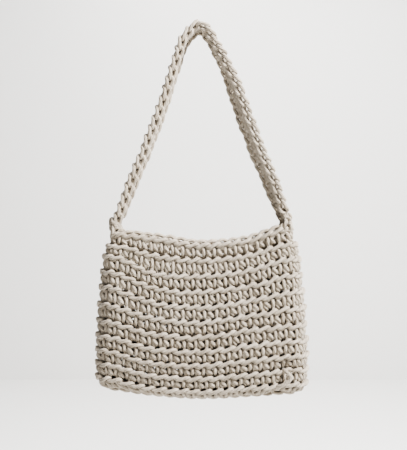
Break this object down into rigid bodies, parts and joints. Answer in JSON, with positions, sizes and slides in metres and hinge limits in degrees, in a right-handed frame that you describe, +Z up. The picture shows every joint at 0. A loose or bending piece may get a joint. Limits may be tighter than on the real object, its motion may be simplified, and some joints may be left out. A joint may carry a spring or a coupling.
{
  "type": "crochet shoulder bag",
  "caption": "Small open-topped shoulder bag crocheted in thick cotton cord, with a wide flat strap and a chain edging round its mouth and strap, shown hanging.",
  "frame": {"origin": "underside of the strap at its highest point, where the bag hangs", "axes": "+Z up, -Y out of the bag's front, +X to the right as seen from the front"},
  "size_m": [0.2542, 0.06, 0.448],
  "materials": {
    "cotton_cord": "matte soft cotton cord"
  },
  "bodies": {
    "root": {"pouch": "cotton_cord", "strap": "cotton_cord", "front_edging": "cotton_cord", "back_edging": "cotton_cord"}
  },
  "joints": []
}
